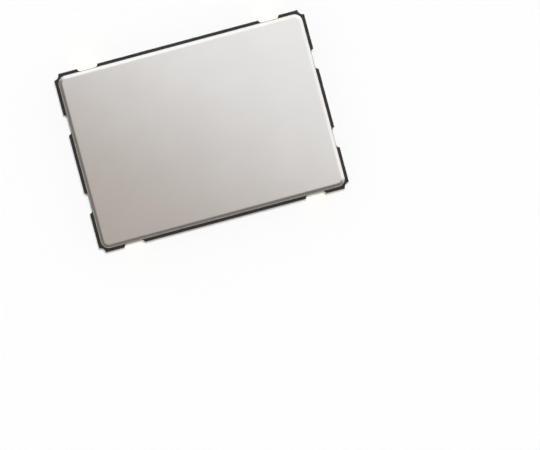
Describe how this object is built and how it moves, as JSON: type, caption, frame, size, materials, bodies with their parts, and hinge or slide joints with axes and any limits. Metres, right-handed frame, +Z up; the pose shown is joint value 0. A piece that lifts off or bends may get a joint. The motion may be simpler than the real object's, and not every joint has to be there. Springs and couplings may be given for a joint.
{
  "type": "crystal oscillator",
  "caption": "Surface-mount crystal oscillator: castellated ceramic package with gold solder pads and a welded metal lid over a quartz blank and its chip.",
  "frame": {"origin": "middle of the footprint, in the plane of the solder pads' undersides", "axes": "+X along the long side from pin 1 to pin 2, +Y from pin 1 to pin 4, +Z up through the lid"},
  "size_m": [0.007, 0.005, 0.0014],
  "materials": {
    "ceramic": "matt dark fired alumina",
    "lid_metal": "satin nickel plate",
    "ring_metal": "satin nickel plate",
    "braze": "frozen braze",
    "pad_gold": "satin gold plate",
    "film_gold": "gold plate on printed metal",
    "wire_gold": "bright drawn gold",
    "adhesive": "cured adhesive",
    "silicon": "processed silicon",
    "quartz": "polished quartz",
    "silver_adhesive": "silver filled",
    "electrode_silver": "evaporated silver"
  },
  "bodies": {
    "root": {"ceramic_base": "ceramic", "lid": "lid_metal", "seal_ring": "ring_metal", "braze_seam": "braze", "terminal_1_enable": "pad_gold", "terminal_2_ground": "pad_gold", "terminal_3_output": "pad_gold", "terminal_4_supply": "pad_gold", "die_pad": "film_gold", "bond_finger_1": "film_gold", "bond_finger_2": "film_gold", "bond_finger_3": "film_gold", "bond_finger_4": "film_gold", "bond_finger_5": "film_gold", "bond_finger_6": "film_gold", "crystal_land_left": "film_gold", "crystal_land_right": "film_gold", "bond_wire_1": "wire_gold", "bond_wire_2": "wire_gold", "bond_wire_3": "wire_gold", "bond_wire_4": "wire_gold", "bond_wire_5": "wire_gold", "bond_wire_6": "wire_gold", "die_attach": "adhesive", "oscillator_chip": "silicon", "quartz_blank": "quartz", "glue_dot_left": "silver_adhesive", "glue_dot_right": "silver_adhesive", "upper_electrode": "electrode_silver", "lower_electrode": "electrode_silver"}
  },
  "joints": []
}
